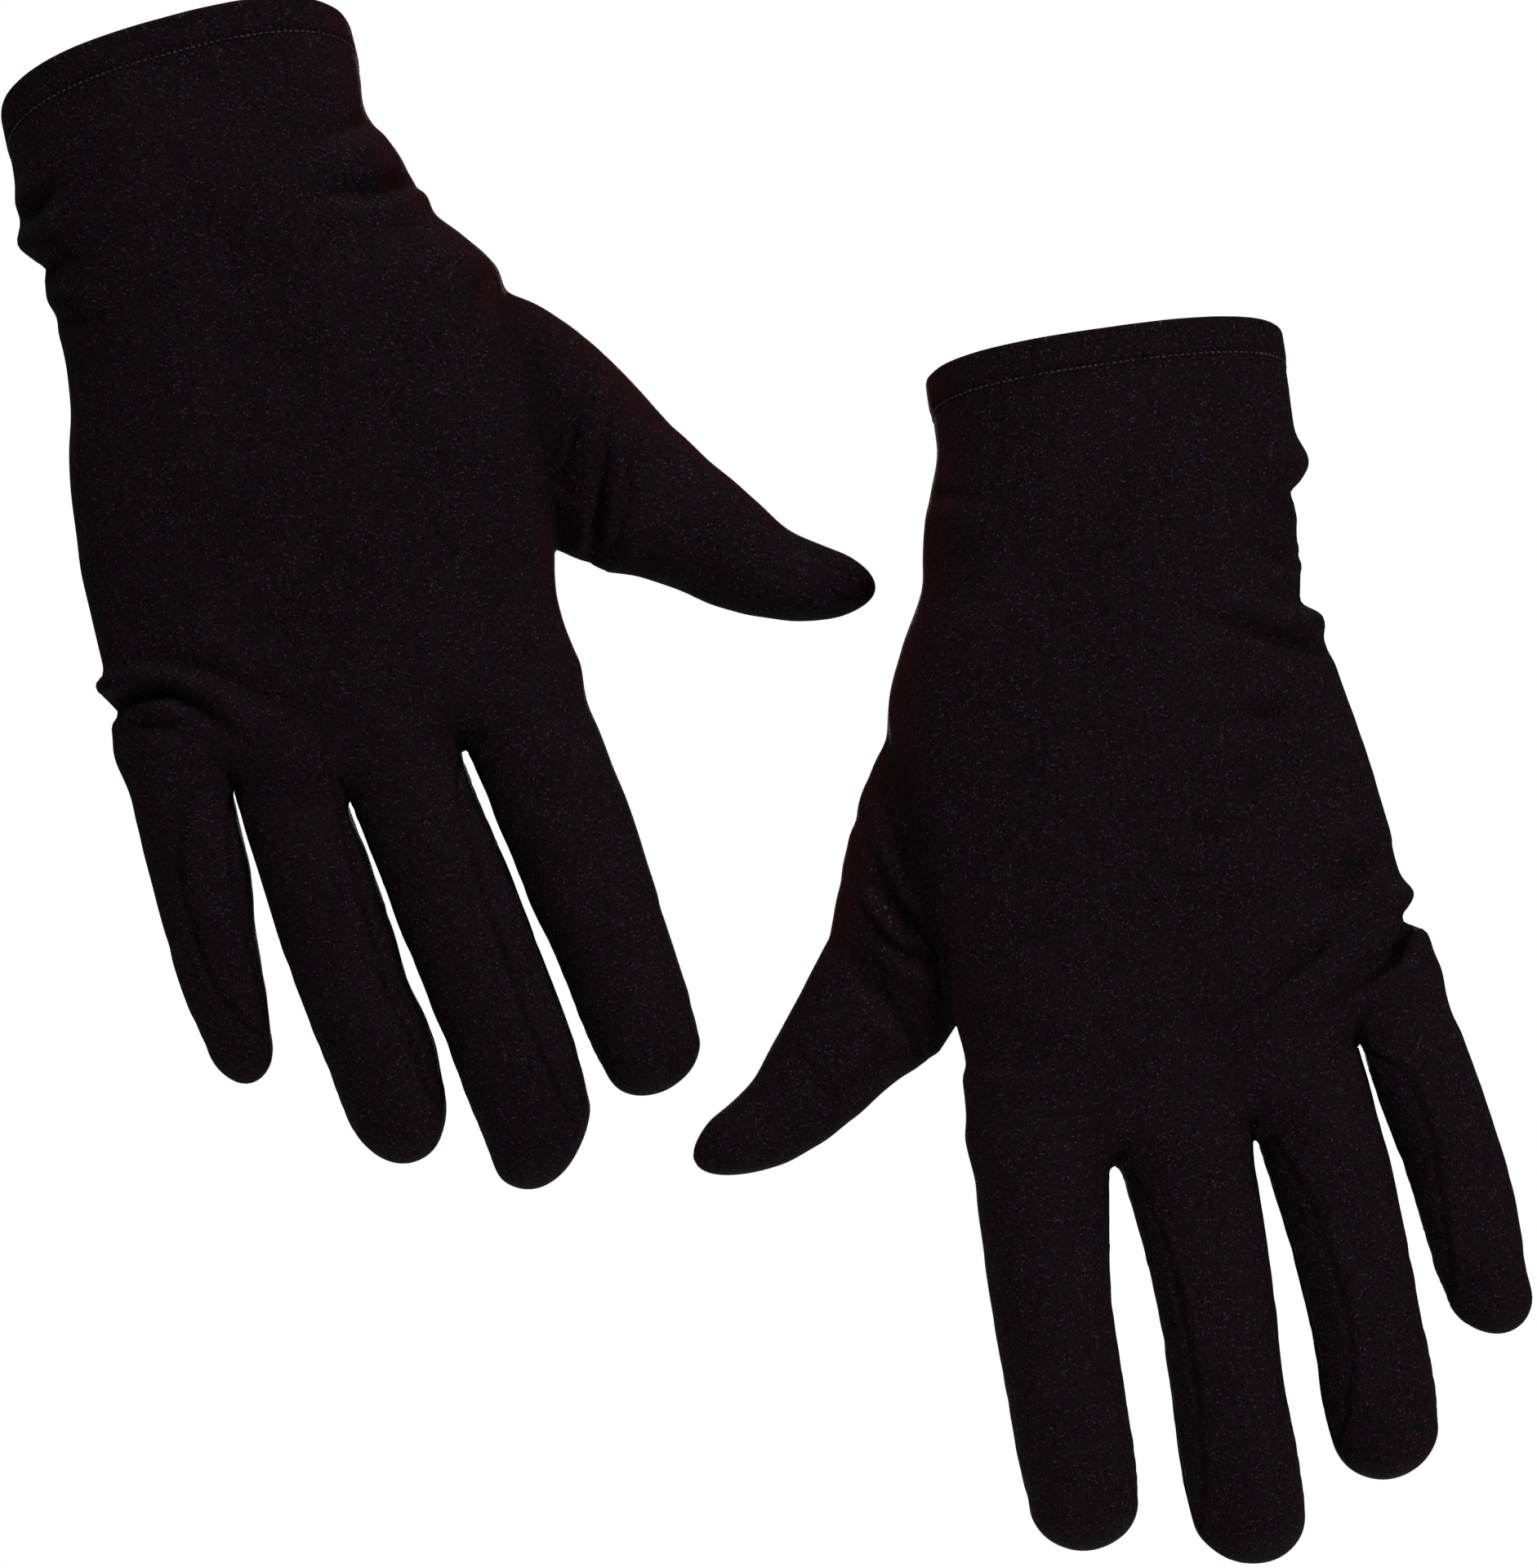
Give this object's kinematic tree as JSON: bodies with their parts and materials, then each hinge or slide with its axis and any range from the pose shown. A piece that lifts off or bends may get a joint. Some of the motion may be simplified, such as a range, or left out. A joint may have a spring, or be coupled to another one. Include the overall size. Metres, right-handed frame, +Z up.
{
  "type": "pair of short stretch-knit gloves",
  "caption": "Pair of wrist-length black stretch-knit dress gloves in worn shape, with turned hems, set-in thumbs and side strips between the fingers.",
  "frame": {"origin": "centre of the right glove's wrist opening", "axes": "+Z up, towards the wrists; backs of the hands face -Y and palms face +Y; the left glove stands to +X of the right one; metres"},
  "size_m": [0.283, 0.0386, 0.289],
  "materials": {
    "knit": "matt black fine stretch knit with faint sparkle",
    "fourchette_knit": "the same knit, cut along the finger",
    "hem_knit": "inside face of the same knit, turned in",
    "thread": "black polyester sewing thread, slightly shiny"
  },
  "bodies": {
    "right_cuff": {"right_cuff_panel": "knit", "right_hem_fold": "hem_knit", "right_hem_stitching": "thread"},
    "right_hand": {"right_trank": "knit", "right_thumb_base": "knit"},
    "right_thumb": {"right_thumb": "knit"},
    "right_index": {"right_index_sleeve": "knit", "right_index_fourchette_little_side": "fourchette_knit"},
    "right_middle": {"right_middle_sleeve": "knit", "right_middle_fourchette_thumb_side": "fourchette_knit", "right_middle_fourchette_little_side": "fourchette_knit"},
    "right_ring": {"right_ring_sleeve": "knit", "right_ring_fourchette_thumb_side": "fourchette_knit", "right_ring_fourchette_little_side": "fourchette_knit"},
    "right_little": {"right_little_sleeve": "knit", "right_little_fourchette_thumb_side": "fourchette_knit"},
    "left_cuff": {"left_cuff_panel": "knit", "left_hem_fold": "hem_knit", "left_hem_stitching": "thread"},
    "left_hand": {"left_trank": "knit", "left_thumb_base": "knit"},
    "left_thumb": {"left_thumb": "knit"},
    "left_index": {"left_index_sleeve": "knit", "left_index_fourchette_little_side": "fourchette_knit"},
    "left_middle": {"left_middle_sleeve": "knit", "left_middle_fourchette_thumb_side": "fourchette_knit", "left_middle_fourchette_little_side": "fourchette_knit"},
    "left_ring": {"left_ring_sleeve": "knit", "left_ring_fourchette_thumb_side": "fourchette_knit", "left_ring_fourchette_little_side": "fourchette_knit"},
    "left_little": {"left_little_sleeve": "knit", "left_little_fourchette_thumb_side": "fourchette_knit"}
  },
  "joints": [
    {"name": "right_wrist_bend", "type": "hinge", "parent": "right_cuff", "child": "right_hand", "pos_m": [0.00797, 0, -0.02892], "axis": [0.9641, 0, 0.2656], "range_deg": [-35, 35]},
    {"name": "right_thumb_bend", "type": "hinge", "parent": "right_hand", "child": "right_thumb", "pos_m": [0.08483, 0.009, -0.07828], "axis": [0.3923, 0, 0.9198], "range_deg": [-10, 45]},
    {"name": "right_index_bend", "type": "hinge", "parent": "right_hand", "child": "right_index", "pos_m": [0.0679, 0.0025, -0.13264], "axis": [0.9252, 0, 0.3795], "range_deg": [-10, 80]},
    {"name": "right_middle_bend", "type": "hinge", "parent": "right_hand", "child": "right_middle", "pos_m": [0.04495, 0.0025, -0.14105], "axis": [0.9272, 0, 0.3746], "range_deg": [-10, 80]},
    {"name": "right_ring_bend", "type": "hinge", "parent": "right_hand", "child": "right_ring", "pos_m": [0.02269, 0.0025, -0.14257], "axis": [0.9438, 0, 0.3305], "range_deg": [-10, 80]},
    {"name": "right_little_bend", "type": "hinge", "parent": "right_hand", "child": "right_little", "pos_m": [0.00151, 0.0025, -0.14269], "axis": [0.9803, 0, 0.1977], "range_deg": [-10, 80]},
    {"name": "left_glove_apart", "type": "slide", "parent": "right_cuff", "child": "left_cuff", "axis": [1, 0, 0], "range_m": [0, 0.1]},
    {"name": "left_wrist_bend", "type": "hinge", "parent": "left_cuff", "child": "left_hand", "pos_m": [0.17518, 0, -0.08221], "axis": [0.9903, 0, 0.1392], "range_deg": [-35, 35]},
    {"name": "left_thumb_bend", "type": "hinge", "parent": "left_hand", "child": "left_thumb", "pos_m": [0.13, 0.009, -0.17035], "axis": [0.6884, 0, -0.7254], "range_deg": [-10, 45]},
    {"name": "left_index_bend", "type": "hinge", "parent": "left_hand", "child": "left_index", "pos_m": [0.16189, 0.0025, -0.21484], "axis": [0.9945, 0, 0.1045], "range_deg": [-10, 80]},
    {"name": "left_middle_bend", "type": "hinge", "parent": "left_hand", "child": "left_middle", "pos_m": [0.18908, 0.0025, -0.20901], "axis": [0.9888, 0, 0.1495], "range_deg": [-10, 80]},
    {"name": "left_ring_bend", "type": "hinge", "parent": "left_hand", "child": "left_ring", "pos_m": [0.2119, 0.0025, -0.19871], "axis": [0.9813, 0, 0.1925], "range_deg": [-10, 80]},
    {"name": "left_little_bend", "type": "hinge", "parent": "left_hand", "child": "left_little", "pos_m": [0.23127, 0.0025, -0.18869], "axis": [0.9415, 0, 0.3371], "range_deg": [-10, 80]}
  ]
}
